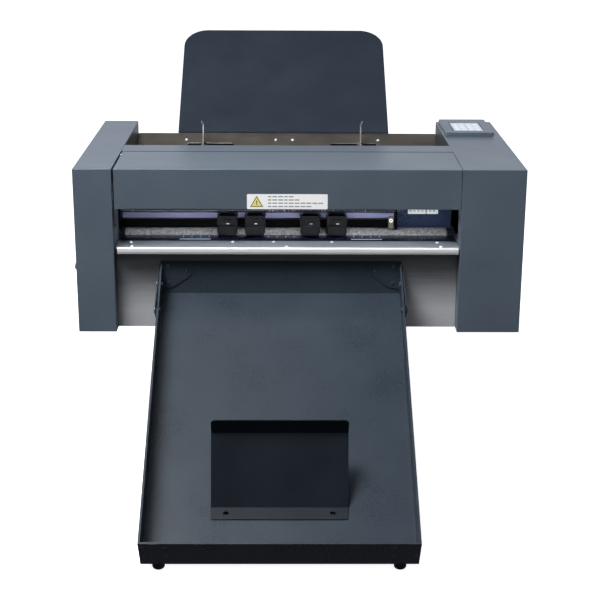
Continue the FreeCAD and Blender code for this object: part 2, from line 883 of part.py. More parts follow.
def paper_support():
    """The sheet that holds a stack of media: rounded at the top, with a flange down the back."""
    width, length, corner = support_width, support_length, support_corner
    flat = Part.makeBox(width, length, sheet, V(-width / 2, 0, 0))
    flat = round_edges(flat, corner, lambda p, t: abs(t.z) > 0.9 and p.y > length - 1)
    flat.rotate(V(0, 0, 0), V(1, 0, 0), support_slope)
    flat.translate(V(paper_centre + 2.5, FRONT + body_depth + 0.6, ramp_top + 1.0))
    x0 = paper_centre + 2.5 - width / 2
    flange = block(
        x0, x0 + width, body_depth, body_depth + sheet, ramp_top - support_flange, ramp_top + 2.0
    )
    holes = [
        rod_y(x, body_depth - 1, body_depth + sheet + 1, ramp_top - 8.0, 1.6) for x in support_screw_places()
    ]
    return fuse([flat, flange.cut(Part.makeCompound(holes))])


def support_screw_places():
    return [paper_centre + 2.5 + (n - 1.5) * support_width / 4.4 for n in range(4)]


def rear_top_strip():
    front = seam_d + seam_gap
    top = block(inner_left, inner_right, front, top_strip_rear_d, body_height - sheet, body_height)
    flange = block(
        inner_left, inner_right, top_strip_rear_d - sheet, top_strip_rear_d, body_height - 16.0,
        body_height,
    )
    return fuse([top, flange])


def screw(x, d, z, axis, shank, head=2.6):
    """A pan-head screw or rivet whose head stands on the surface at (x, d, z), facing along axis."""
    place = V(x, FRONT + d, z)
    cap = Part.makeCone(head, head * 0.7, 1.4, place, axis)
    stem = Part.makeCylinder(1.5, shank, place, axis * -1)
    return fuse([cap, stem])


def machine_screws():
    up = V(0, 0, 1)
    screws = [screw(x, d, platform_top, up, 2.0) for x, d in platform_screw_places()]
    slope = math.radians(ramp_slope)
    normal = V(0, -math.sin(slope), math.cos(slope))
    ramp_rivet_d = body_depth - ramp_rivet_from_rear
    for x in ramp_rivet_places:
        cap = Part.makeCone(2.6, 1.8, 1.2, V(x, FRONT + ramp_rivet_d, ramp_height(ramp_rivet_d)), normal)
        screws.append(cap)
    for x in support_screw_places():
        screws.append(screw(x, body_depth + sheet, ramp_top - 8.0, V(0, 1, 0), 1.5, 3.2))
    return Part.makeCompound(screws)


# ---------------------------------------------------------------- hood
def hood_cover():
    left = inner_left + hood_left_gap
    right = inner_right - hood_right_gap
    front_wall = block(left, right, 0, sheet, hood_bottom, body_height)
    top = block(left, right, 0, seam_d, body_height - sheet, body_height)
    lip = block(left, right, 0, hood_lip, hood_bottom, hood_bottom + sheet)
    cheek_bottom = body_height - sheet - hood_cheek_height
    cheeks = [
        block(left, left + sheet, 0, seam_d, cheek_bottom, body_height),
        block(right - sheet, right, 0, seam_d, cheek_bottom, body_height),
    ]
    shell = fuse([front_wall, top, lip] + cheeks)
    shell = round_edges(
        shell,
        sheet * 0.8,
        lambda p, t: abs(t.x) > 0.9 and p.y < FRONT + 0.01 and p.z > body_height - 0.01,
    )
    pin_hole = rod_x(left - 1, right + 1, hood_axis_d, hood_axis_z, hood_pin_radius + running_gap)
    return shell.cut(pin_hole)


def hood_pins():
    left = rod_x(inner_left - plate, inner_left + hood_left_gap + 6, hood_axis_d, hood_axis_z,
                 hood_pin_radius)
    right = rod_x(inner_right - hood_right_gap - 6, inner_right + plate, hood_axis_d, hood_axis_z,
                  hood_pin_radius)
    return Part.makeCompound([left, right])


# ---------------------------------------------------------------- catch tray
def lay_on_tray(shape):
    """Turn a piece drawn flat, with -Y running down the tray from its rear bend, into its place."""
    shape.rotate(V(0, 0, 0), V(1, 0, 0), tray_slope)
    shape.translate(V(0, FRONT + tray_rear_d, tray_bend_z))
    return shape


def tray_pan():
    """One folded sheet: floor, two side walls, a front wall and an upright rear wall, with hems."""
    t, h, length = tray_sheet, tray_wall_height, tray_length
    left, right = tray_left, tray_right
    slope = math.radians(tray_slope)
    rear_y, rear_z = tray_rear_height * math.sin(slope), tray_rear_height * math.cos(slope)
    floor = Part.makeBox(right - left, length, t, V(left, -length, -t))
    front = Part.makeBox(right - left, t, h + t, V(left, -length, -t))
    front_hem = Part.makeBox(right - left, 2 * t, tray_hem, V(left, -length, h - tray_hem))
    pieces = [floor, front, front_hem]
    for x, hem_x in ((left, left), (right - t, right - 2 * t)):
        side = Part.Face(Part.makePolygon([
            V(x, -length, -t), V(x, 0, -t), V(x, rear_y, rear_z), V(x, -length, h), V(x, -length, -t)
        ])).extrude(V(t, 0, 0))
        hem = Part.Face(Part.makePolygon([
            V(hem_x, -length, h - tray_hem),
            V(hem_x, rear_y, rear_z - tray_hem),
            V(hem_x, rear_y, rear_z),
            V(hem_x, -length, h),
            V(hem_x, -length, h - tray_hem),
        ])).extrude(V(2 * t, 0, 0))
        pieces += [side, hem]
    body = lay_on_tray(fuse(pieces))
    wall_bottom = tray_bend_z - 2 * t
    rear = block(left, right, tray_rear_d - t, tray_rear_d, wall_bottom, tray_bend_z + tray_rear_height)
    body = fuse([body, rear]).cut(
        block(left - 1, right + 1, tray_rear_d, tray_rear_d + 60, wall_bottom - 40, platform_top + 50)
    )
    tabs = [tray_tab_plate(left + t, 1), tray_tab_plate(right - t, -1)]
    body = fuse([body] + tabs)
    holes = []
    for x in (left, right):
        holes.append(rod_x(x - 3, x + 3, tray_pivot_d, tray_pivot_z, tray_screw_radius))
        holes.append(rod_x(x - 3, x + 3, tray_clamp_d, tray_clamp_z, tray_screw_radius))
    return cut(body, holes)


def tray_tab_plate(x, side):
    """The ear folded from a side wall onto the rear wall."""
    top = tray_bend_z + tray_rear_height - 1.0
    outline = [
        (x, top),
        (x + side * tray_tab, top),
        (x + side * tray_tab, top - 21.0),
        (x + side * tray_tab * 0.4, top - 40.0),
        (x, top - 44.0),
    ]
    return profile_y(outline, tray_rear_d - 2 * tray_sheet, tray_rear_d - tray_sheet)


def tray_screws():
    """Pivot and clamp screws through the hangers, the rivets on the ears, and the front corners'."""
    screws = []
    inner, outer = 3.0, hanger_side_gap + tray_sheet + 2.4
    for x, side in ((tray_left, 1), (tray_right, -1)):
        for d, z in ((tray_pivot_d, tray_pivot_z), (tray_clamp_d, tray_clamp_z)):
            ends = sorted((x + side * (tray_sheet + inner), x - side * outer))
            shank = rod_x(ends[0], ends[1], d, z, tray_screw_radius)
            nut_ends = sorted((x + side * tray_sheet, x + side * (tray_sheet + inner)))
            nut = rod_x(nut_ends[0], nut_ends[1], d, z, 4.5)
            head_ends = sorted((x - side * (outer - 2.2), x - side * outer))
            head = rod_x(head_ends[0], head_ends[1], d, z, 5.0)
            screws.append(fuse([shank, nut, head]))
    face = tray_rear_d - 2 * tray_sheet
    top = tray_bend_z + tray_rear_height - 1.0
    for x, side in ((tray_left + tray_sheet, 1), (tray_right - tray_sheet, -1)):
        for across, down in ((10.0, 6.0), (39.0, 14.0), (11.0, 34.0)):
            screws.append(Part.makeCone(
                2.6, 1.8, 1.2, V(x + side * across, FRONT + face, top - down), V(0, -1, 0)
            ))
    for x, side in ((tray_left, 1), (tray_right, -1)):
        for across in (6.0, 35.0):
            for up in (22.0, 42.0):
                rivet = Part.makeCone(
                    2.4, 1.6, 1.0, V(x + side * across, -tray_length, up), V(0, -1, 0)
                )
                screws.append(lay_on_tray(rivet))
    return Part.makeCompound(screws)


def tray_hangers():
    """The fixed side brackets: a cheek beside each tray wall, and a flange on the front panel."""
    flange_d = front_panel_d - tray_sheet
    brackets = []
    for x, side in ((tray_left - hanger_side_gap, -1), (tray_right + hanger_side_gap, 1)):
        outline = [
            (front_panel_d, tray_pivot_z + 20.0),
            (tray_pivot_d, tray_pivot_z + 12.0),
            (tray_clamp_d - 13.0, tray_clamp_z + 13.0),
            (tray_clamp_d - 13.0, tray_clamp_z - 6.0),
            (tray_clamp_d, tray_clamp_z - 15.0),
            (front_panel_d, tray_clamp_z - 15.0),
        ]
        a, b = sorted((x, x + side * tray_sheet))
        cheek = profile_x(outline, a, b)
        c, e = sorted((x + side * tray_sheet, x - side * 30.0))
        flange = block(c, e, flange_d, front_panel_d, tray_clamp_z - 15.0, tray_pivot_z + 20.0)
        bracket = fuse([cheek, flange])
        pivot_hole = rod_x(a - 1, b + 1, tray_pivot_d, tray_pivot_z, tray_screw_radius + running_gap)
        brackets.append(cut(bracket, [pivot_hole, clamp_slot(a - 1, b + 1)]))
    return Part.makeCompound(brackets)


def clamp_slot(x0, x1):
    """The curved slot round the pivot that the clamp screw travels in."""
    dy = tray_clamp_d - tray_pivot_d
    dz = tray_clamp_z - tray_pivot_z
    radius = math.hypot(dy, dz)
    start = math.atan2(dz, dy)
    half_width = tray_screw_radius + 0.3
    low = start + math.radians(tray_slot_down_angle)
    high = start - math.radians(tray_up_angle + 1.0)

    def at(angle, r):
        return V(x0, FRONT + tray_pivot_d + r * math.cos(angle), tray_pivot_z + r * math.sin(angle))

    middle = (low + high) / 2
    far, near = radius + half_width, radius - half_width
    outer = Part.Arc(at(low, far), at(middle, far), at(high, far))
    inner = Part.Arc(at(high, near), at(middle, near), at(low, near))
    ends = [
        Part.makeLine(at(high, far), at(high, near)),
        Part.makeLine(at(low, near), at(low, far)),
    ]
    wire = Part.Wire([outer.toShape(), ends[0], inner.toShape(), ends[1]])
    body = Part.Face(wire).extrude(V(x1 - x0, 0, 0))
    caps = [Part.makeCylinder(half_width, x1 - x0, at(a, radius), V(1, 0, 0)) for a in (low, high)]
    return fuse([body] + caps)


def tray_feet():
    slope = math.radians(tray_slope)
    front_d = tray_rear_d - tray_length * math.cos(slope)
    front_z = tray_bend_z - tray_length * math.sin(slope)
    bottom = front_z - tray_foot_drop
    above = Part.makeBox(tray_width, 200, 60, V(tray_left, -tray_length - 90, -tray_sheet))
    lay_on_tray(above)
    feet = []
    for x in (tray_left + 23.2, tray_right - 24.3):
        foot = rod_z(x, front_d + tray_foot_setback, bottom, bottom + 40, tray_foot_radius)
        rim = [e for e in foot.Edges if e.BoundBox.ZMax < bottom + 0.1 and e.BoundBox.XLength > 1]
        foot = foot.makeFillet(tray_foot_radius * 0.5, rim)
        feet.append(foot.cut(above))
    return Part.makeCompound(feet)


def stop_plate():
    """A bent plate that stops the sheets: a foot on the tray's floor, a leaning face and a top lip."""
    t = tray_sheet
    lean = math.radians(stop_lean)
    x0 = tray_centre - 0.5 - stop_width / 2
    foot = Part.makeBox(stop_width, stop_flange, t, V(x0, -stop_flange, 0))
    foot = round_edges(foot, 4.0, lambda p, tangent: abs(tangent.z) > 0.9 and p.y < -stop_flange + 1)
    tabs = []
    for x in (x0 + 17.3, x0 + stop_width - 25.1):
        tabs.append(Part.makeBox(6.8, 1.2, 5.0, V(x, -stop_flange + 9.0, t)))
    face = Part.makeBox(stop_width, stop_face, t, V(x0, 0, 0))
    face = face.fuse(Part.makeCylinder(t, stop_width, V(x0, 0, 0), V(1, 0, 0)).common(
        Part.makeBox(stop_width, 2 * t, 2 * t, V(x0, -t, 0))
    ))
    face.rotate(V(0, 0, 0), V(1, 0, 0), stop_lean)
    top_y = stop_face * math.cos(lean)
    top_z = stop_face * math.sin(lean)
    lip = Part.makeBox(stop_width, stop_lip, t, V(x0, 0, 0))
    lip = round_edges(
        lip, stop_corner, lambda p, tangent: abs(tangent.z) > 0.9 and p.y > stop_lip - 1
    )
    lip = lip.fuse(Part.makeCylinder(t, stop_width, V(x0, 0, 0), V(1, 0, 0)))
    lip.rotate(V(0, 0, 0), V(1, 0, 0), stop_lip_lean)
    lip.translate(V(0, top_y, top_z))
    plate_shape = fuse([foot, face, lip] + tabs)
    plate_shape = plate_shape.cut(Part.makeBox(stop_width + 2, 400, 40, V(x0 - 1, -200, -40)))
    plate_shape.translate(V(0, -stop_from_rear, touch_gap))
    return lay_on_tray(plate_shape)


# ---------------------------------------------------------------- controls and electrics
def screen_place():
    x1 = RIGHT - screen_right_gap
    d1 = body_depth - screen_rear_gap
    return x1 - screen_width, x1, d1 - screen_depth, d1


def touch_bezel():
    x0, x1, d0, d1 = screen_place()
    z = body_height
    body = block(x0, x1, d0, d1, z, z + screen_height)
    body = round_edges(body, 3.0, lambda p, t: abs(t.z) > 0.9)
    gx = (x0 + x1) / 2
    recess = block(
        gx - glass_width / 2 - 0.3,
        gx + glass_width / 2 + 0.3,
        d0 + glass_from_front - 0.3,
        d0 + glass_from_front + glass_depth + 0.3,
        z + screen_height - 1.6,
        z + screen_height + 1,
    )
    return body.cut(recess)


def touch_glass():
    x0, x1, d0, _ = screen_place()
    gx = (x0 + x1) / 2
    z = body_height + screen_height - 1.6
    return block(
        gx - glass_width / 2, gx + glass_width / 2, d0 + glass_from_front,
        d0 + glass_from_front + glass_depth, z, z + 1.2,
    )


def side_button():
    cap = rod_x(LEFT - button_proud, LEFT - button_stroke - 0.3, button_d, button_z, button_radius)
    stem = rod_x(LEFT - button_proud, LEFT + cover_wall + 3, button_d, button_z, button_radius - 1.5)
    return fuse([cap, stem])


def power_inlet():
    """The mains inlet with the switch's frame above its socket, in one moulding."""
    rear = body_depth - sheet
    x = inner_right - inlet_from_right
    w, h = inlet_width / 2, inlet_height / 2
    flange = block(x - w, x + w, rear, rear + 2.5, inlet_z - h, inlet_z + h)
    body = block(x - w + 2, x + w - 2, rear - 22, rear, inlet_z - h + 2, inlet_z + h - 2)
    socket = block(x - 10, x + 10, rear - 18, rear + 3, inlet_z - h + 6, inlet_z - h + 22)
    pins = []
    for dx, dz in ((-6.5, -2.0), (6.5, -2.0), (0.0, 3.0)):
        z = inlet_z - h + 14 + dz
        pins.append(block(x + dx - 0.8, x + dx + 0.8, rear - 20, rear - 4, z - 2, z + 2))
    half_well = rocker_half_width + 0.5
    well = block(x - half_well, x + half_well, rear - 14, rear + 3, rocker_z - 12.5, rocker_z + 12.5)
    reach = half_well + rocker_pin_grip + running_gap
    pin_d = rear - rocker_pin_depth
    pin_bore = rod_x(x - reach, x + reach, pin_d, rocker_z, rocker_pin_radius + running_gap)
    return fuse([cut(fuse([flange, body]), [socket, well, pin_bore])] + pins)


def power_rocker():
    """The mains switch's rocker, resting with its lower end pressed in."""
    rear = body_depth - sheet
    x = inner_right - inlet_from_right
    z = rocker_z
    outline = [
        (rear - 6.0, z - 11.0),
        (rear + 0.5, z - 11.5),
        (rear + 1.2, z),
        (rear + 4.2, z + 10.5),
        (rear - 2.5, z + 11.5),
        (rear - 8.0, z),
    ]
    reach = rocker_half_width + 0.5 + rocker_pin_grip
    pin = rod_x(x - reach, x + reach, rear - rocker_pin_depth, z, rocker_pin_radius)
    return fuse([profile_x(outline, x - rocker_half_width, x + rocker_half_width), pin])


def control_board():
    """The controller on four posts, with its chips and connector block."""
    under = sheet + board_rise
    face = under + board_thickness
    board = block(-150.0, 30.0, 210.0, 320.0, under, face)
    posts = [rod_z(x, d, sheet, under, 3.0) for x in (-142.0, 22.0) for d in (218.0, 312.0)]
    chips = [
        block(-110.0, -80.0, 240.0, 270.0, face, face + 3.0),
        block(-50.0, -20.0, 226.0, 256.0, face, face + 8.4),
        block(-130.0, -10.0, 300.0, 314.0, face, face + 9.4),
    ]
    return fuse([board] + posts + chips)


def power_supply():
    x1 = inner_right - supply_from_right
    d1 = body_depth - supply_from_rear
    return block(x1 - supply_width, x1, d1 - supply_length, d1, sheet, sheet + supply_height)


def main():
    os.makedirs("parts", exist_ok=True)
    save("base_pan", base_pan())
    save("machine_feet", machine_feet())
    save("left_end_cover", left_end_cover())
    save("right_end_cover", right_end_cover())
    save("left_frame_plate", left_frame_plate())
    save("right_frame_plate", right_frame_plate())
    save("front_panel", front_panel())
    save("rear_panel", rear_panel())
    save("platform", platform())
    save("front_edge", front_edge())
    save("cutting_strip", cutting_strip())
    save("hood_catch", hood_catch())
    save("machine_screws", machine_screws())
    save("drum", drum())
    save("drum_pulleys", drum_pulleys())
    save("drum_bearings", drum_bearings())
    save("pinch_beam", pinch_beam())
    save("pinch_rail", pinch_rail())
    save("rail_brackets", rail_brackets())
    save("beam_end_block", beam_end_block())
    save("lift_rod", lift_rod())
    save("pinch_brackets", pinch_brackets())
    for number, x in enumerate(pinch_centres, 1):
        save(f"pinch_arm_{number}", pinch_arm(x))
        save(f"pinch_roller_{number}", pinch_roller(x))
    save("throat_panel", throat_panel())
    save("carriage_rail", carriage_rail())
    save("carriage", carriage())
    save("tool_holder", tool_holder())
    save("idler_pulley", pulley_y(idler_x(), 3.0 + running_gap))
    save("carriage_pulley", pulley_y(drive_x(), 2.5 + running_gap))
    save("stepper_motors", stepper_motors())
    save("motor_pulley", motor_pulley())
    save("timing_belts", timing_belts())
    save("feed_ramp", feed_ramp())
    save("guide_left", guide(-1))
    save("guide_right", guide(1))
    save("feed_shaft", feed_shaft())
    save("feed_rollers", feed_rollers())
    save("paper_support", paper_support())
    save("rear_top_strip", rear_top_strip())
    save("hood_cover", hood_cover())
    save("hood_pins", hood_pins())
    save("tray_pan", tray_pan())
    save("tray_screws", tray_screws())
    save("tray_hangers", tray_hangers())
    save("tray_feet", tray_feet())
    save("stop_plate", stop_plate())
    save("touch_bezel", touch_bezel())
    save("touch_glass", touch_glass())
    save("side_button", side_button())
    save("power_inlet", power_inlet())
    save("power_rocker", power_rocker())
    save("control_board", control_board())
    save("power_supply", power_supply())


main()
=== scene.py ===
"""The looks of a desktop sheet-fed cutting plotter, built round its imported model: finishes for every part,
broken edges and screw recesses, printed marks, small fittings, the screen's picture, the floor, lights and
camera."""

import json
import math

import bmesh
import bpy
from mathutils import Matrix, Vector


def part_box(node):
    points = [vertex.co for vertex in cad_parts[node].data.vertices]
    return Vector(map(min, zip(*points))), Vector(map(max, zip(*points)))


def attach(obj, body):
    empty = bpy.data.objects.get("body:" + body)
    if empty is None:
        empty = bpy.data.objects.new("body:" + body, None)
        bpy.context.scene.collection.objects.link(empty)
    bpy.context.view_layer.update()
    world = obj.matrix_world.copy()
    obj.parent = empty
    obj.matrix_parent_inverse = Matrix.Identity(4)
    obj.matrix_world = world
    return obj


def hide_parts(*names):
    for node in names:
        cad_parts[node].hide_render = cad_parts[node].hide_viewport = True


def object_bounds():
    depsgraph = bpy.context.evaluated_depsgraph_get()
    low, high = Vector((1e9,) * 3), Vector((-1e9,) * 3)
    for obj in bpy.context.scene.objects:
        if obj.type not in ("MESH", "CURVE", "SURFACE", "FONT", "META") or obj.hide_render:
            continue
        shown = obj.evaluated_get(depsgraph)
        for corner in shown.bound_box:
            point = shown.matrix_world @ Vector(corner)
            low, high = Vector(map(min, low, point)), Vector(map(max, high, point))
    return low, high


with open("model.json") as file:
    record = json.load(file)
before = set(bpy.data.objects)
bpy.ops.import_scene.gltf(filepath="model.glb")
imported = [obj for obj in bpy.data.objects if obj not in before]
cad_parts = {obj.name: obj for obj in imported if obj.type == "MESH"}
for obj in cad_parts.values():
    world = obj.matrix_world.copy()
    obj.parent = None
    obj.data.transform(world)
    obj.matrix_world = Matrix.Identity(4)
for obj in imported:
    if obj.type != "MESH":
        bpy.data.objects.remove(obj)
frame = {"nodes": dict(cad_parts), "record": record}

MM = 0.001
NODES = frame["nodes"]
BODY_OF = {node: body for body, nodes in frame["record"]["behaviour"]["bodies"].items() for node in nodes}
SLOT_OF = {node: part.data.materials[0].name.split(".")[0] for node, part in NODES.items()}
cad_box = [list(corner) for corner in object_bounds()]
finishes = {}


# ------------------------------------------------------------------ finishes
def linear(colour):
    """An sRGB hex colour as linear red, green, blue and alpha."""
    channels = [int(colour[i:i + 2], 16) / 255 for i in (0, 2, 4)]
    return [c / 12.92 if c <= 0.04045 else ((c + 0.055) / 1.055) ** 2.4 for c in channels] + [1.0]


def add(tree, kind, inputs=None, **settings):
    """One shader node with its settings, and its inputs set or linked."""
    node = tree.nodes.new("ShaderNode" + kind)
    for name, value in settings.items():
        setattr(node, name, value)
    for name, value in (inputs or {}).items():
        if isinstance(value, bpy.types.NodeSocket):
            tree.links.new(value, node.inputs[name])
        else:
            node.inputs[name].default_value = value
    return node


def blank(name, **plain):
    """A new finish with its plain values set: its tree, its place in the part, and its shader."""
    material = bpy.data.materials.new(name)
    material.use_nodes = True
    tree = material.node_tree
    tree.nodes.clear()
    place = add(tree, "TexCoord").outputs["Object"]
    shader = add(tree, "BsdfPrincipled", {k.replace("_", " "): v for k, v in plain.items()})
    add(tree, "OutputMaterial", {"Surface": shader.outputs[0]})
    finishes[name] = material
    return tree, place, shader


def wire_up(tree, shader, tone, shine, height, depth):
    """Colour, roughness and relief into the shader. Depth is the relief's in millimetres."""
    bump = add(tree, "Bump", {"Height": height, "Strength": 1.0, "Distance": depth * MM})
    tree.links.new(tone, shader.inputs["Base Color"])
    tree.links.new(shine, shader.inputs["Roughness"])
    tree.links.new(bump.outputs[0], shader.inputs["Normal"])


def powder_coat(name, face, shade, rough, depth=0.05, ior=1.5):
    """Polyester powder coat on folded steel: a satin film with the low pebble of melted powder, its
    highlights soft and slightly broken. The pebble is 0.8 mm on the real film, drawn at 2 mm to show. A
    duller film is given a lower ior."""
    tree, place, shader = blank(name, IOR=ior)
    pebble = add(tree, "TexNoise", {"Vector": place, "Scale": 1 / (2.0 * MM), "Detail": 2.0}).outputs[0]
    cloud = add(tree, "TexNoise", {"Vector": place, "Scale": 1 / (70 * MM), "Detail": 3.0}).outputs[0]
    mixed = add(tree, "Math", {0: pebble, 1: cloud}, operation="ADD").outputs[0]
    share = add(tree, "MapRange", {"Value": mixed, "From Min": 0.7, "From Max": 1.3}).outputs[0]
    tone = add(tree, "Mix", {0: share, 6: linear(face), 7: linear(shade)}, data_type="RGBA").outputs[2]
    shine = add(tree, "MapRange", {"Value": mixed, "From Min": 0.6, "From Max": 1.4,
                                   "To Min": rough - 0.07, "To Max": rough + 0.07}).outputs[0]
    wire_up(tree, shader, tone, shine, pebble, depth)


def rolled_metal(name, face, shade, rough, lines, depth=0.012, metallic=1.0):
    """Bare metal with the fine lines of rolling, brushing or turning. lines gives a line's length along
    X, Y and Z in millimetres, so the longest runs along the grain."""
    tree, place, shader = blank(name, Metallic=metallic)
    run = add(tree, "Mapping", {"Vector": place, "Scale": [1 / (size * MM) for size in lines]}).outputs[0]
    grain = add(tree, "TexNoise", {"Vector": run, "Scale": 1.0, "Detail": 3.0, "Roughness": 0.6}).outputs[0]
    cloud = add(tree, "TexNoise", {"Vector": place, "Scale": 1 / (45 * MM), "Detail": 3.0}).outputs[0]
    mixed = add(tree, "Math", {0: grain, 1: cloud}, operation="ADD").outputs[0]
    share = add(tree, "MapRange", {"Value": mixed, "From Min": 0.65, "From Max": 1.35}).outputs[0]
    tone = add(tree, "Mix", {0: share, 6: linear(face), 7: linear(shade)}, data_type="RGBA").outputs[2]
    shine = add(tree, "MapRange", {"Value": mixed, "From Min": 0.6, "From Max": 1.4,
                                   "To Min": rough - 0.06, "To Max": rough + 0.08}).outputs[0]
    wire_up(tree, shader, tone, shine, grain, depth)


def brushed_panel(name, shaded_top, bright):
    """Stainless sheet brushed from side to side: long fine lines, with painted light by height: painted
    shade up under the platform's edge and a painted reflection brightening it downwards."""
    tree, place, shader = blank(name, Metallic=0.35)
    run = add(tree, "Mapping", {"Vector": place, "Scale": [1 / (60 * MM), 1 / (20 * MM), 1 / (1.3 * MM)]})
    grain = add(tree, "TexNoise", {"Vector": run.outputs[0], "Scale": 1.0, "Detail": 3.0}).outputs[0]
    height = add(tree, "SeparateXYZ", {0: place}).outputs[2]
    # painted light: darker towards the top for the platform's shadow, brighter towards the bottom for a
    # reflection
    painted_light_by_height = add(tree, "MapRange", {"Value": height, "From Min": 0.075, "From Max": 0.03,
                                   "To Min": 0.0, "To Max": 0.75}).outputs[0]
    share = add(tree, "Math", {0: grain, 1: 0.35, 2: painted_light_by_height}, operation="MULTIPLY_ADD").outputs[0]
    tone = add(tree, "Mix", {0: share, 6: linear(shaded_top), 7: linear(bright)}, data_type="RGBA").outputs[2]
    shine = add(tree, "MapRange", {"Value": grain, "To Min": 0.3, "To Max": 0.42}).outputs[0]
    wire_up(tree, shader, tone, shine, grain, 0.012)


def galvanised(name, face, shade, rough):
    """Zinc dipped steel sheet: grey with a spangle of flat crystals about 7 mm across."""
    tree, place, shader = blank(name, Metallic=1.0)
    crystal = add(tree, "TexVoronoi", {"Vector": place, "Scale": 1 / (7 * MM)}).outputs["Color"]
    level = add(tree, "SeparateColor", {0: crystal}).outputs[0]
    frost = add(tree, "TexNoise", {"Vector": place, "Scale": 1 / (2.2 * MM), "Detail": 3.0}).outputs[0]
    mixed = add(tree, "Math", {0: level, 1: 0.35, 2: frost}, operation="MULTIPLY_ADD").outputs[0]
    share = add(tree, "MapRange", {"Value": mixed, "From Min": 0.4, "From Max": 1.0}).outputs[0]
    tone = add(tree, "Mix", {0: share, 6: linear(face), 7: linear(shade)}, data_type="RGBA").outputs[2]
    shine = add(tree, "MapRange", {"Value": mixed, "From Min": 0.4, "From Max": 1.0,
                                   "To Min": rough - 0.1, "To Max": rough + 0.12}).outputs[0]
    wire_up(tree, shader, tone, shine, frost, 0.02)


def gritted_steel(name, face, shade):
    """A feed drum's sprayed grit: sharp bright grains on a duller skin. The grains are 0.2 mm, drawn at
    1.1 mm to show."""
    tree, place, shader = blank(name, Metallic=0.45)
    grit = add(tree, "TexVoronoi", {"Vector": place, "Scale": 1 / (1.1 * MM)}).outputs["Distance"]
    patch = add(tree, "TexNoise", {"Vector": place, "Scale": 1 / (5 * MM), "Detail": 4.0,
                                   "Roughness": 0.7}).outputs[0]
    mixed = add(tree, "Math", {0: grit, 1: 0.5, 2: patch}, operation="MULTIPLY_ADD").outputs[0]
    share = add(tree, "MapRange", {"Value": mixed, "From Min": 0.5, "From Max": 0.95}).outputs[0]
    tone = add(tree, "Mix", {0: share, 6: linear(face), 7: linear(shade)}, data_type="RGBA").outputs[2]
    shine = add(tree, "MapRange", {"Value": share, "To Min": 0.3, "To Max": 0.55}).outputs[0]
    wire_up(tree, shader, tone, shine, grit, 0.12)


def moulded(name, face, shade, rough, grain=1.5, depth=0.04):
    """Injection-moulded ABS with a spark-eroded skin: an even matt grain that breaks up its gloss. The
    grain is 0.1 mm, drawn coarser to show."""
    tree, place, shader = blank(name, IOR=1.53)
    skin = add(tree, "TexNoise", {"Vector": place, "Scale": 1 / (grain * MM), "Detail": 2.0}).outputs[0]
    share = add(tree, "MapRange", {"Value": skin, "From Min": 0.35, "From Max": 0.65}).outputs[0]
    tone = add(tree, "Mix", {0: share, 6: linear(face), 7: linear(shade)}, data_type="RGBA").outputs[2]
    shine = add(tree, "MapRange", {"Value": skin, "From Min": 0.3, "From Max": 0.7,
                                   "To Min": rough - 0.06, "To Max": rough + 0.06}).outputs[0]
    wire_up(tree, shader, tone, shine, skin, depth)


def printed(name, colour, shade, rough):
    """Ink or a printed film: flat colour with the faint mottle of the press."""
    tree, place, shader = blank(name, IOR=1.5)
    mottle = add(tree, "TexNoise", {"Vector": place, "Scale": 1 / (3 * MM), "Detail": 2.0}).outputs[0]
    tone = add(tree, "Mix", {0: mottle, 6: linear(colour), 7: linear(shade)}, data_type="RGBA").outputs[2]
    shine = add(tree, "MapRange", {"Value": mottle, "To Min": rough - 0.05, "To Max": rough + 0.05})
    wire_up(tree, shader, tone, shine.outputs[0], mottle, 0.004)


def circuit_board(name):
    """Glass-epoxy board under green solder resist, with raised copper tracks 2 mm apart."""
    tree, place, shader = blank(name, IOR=1.5)
    track = add(tree, "TexBrick", {"Vector": place, "Scale": 1 / (40 * MM), "Mortar Size": 0.012,
                                   "Color1": linear("1f5a36"), "Color2": linear("246640"),
                                   "Mortar": linear("3f8a58")})
    shine = add(tree, "MapRange", {"Value": track.outputs["Fac"], "To Min": 0.3, "To Max": 0.45})
    wire_up(tree, shader, track.outputs["Color"], shine.outputs[0], track.outputs["Fac"], 0.05)


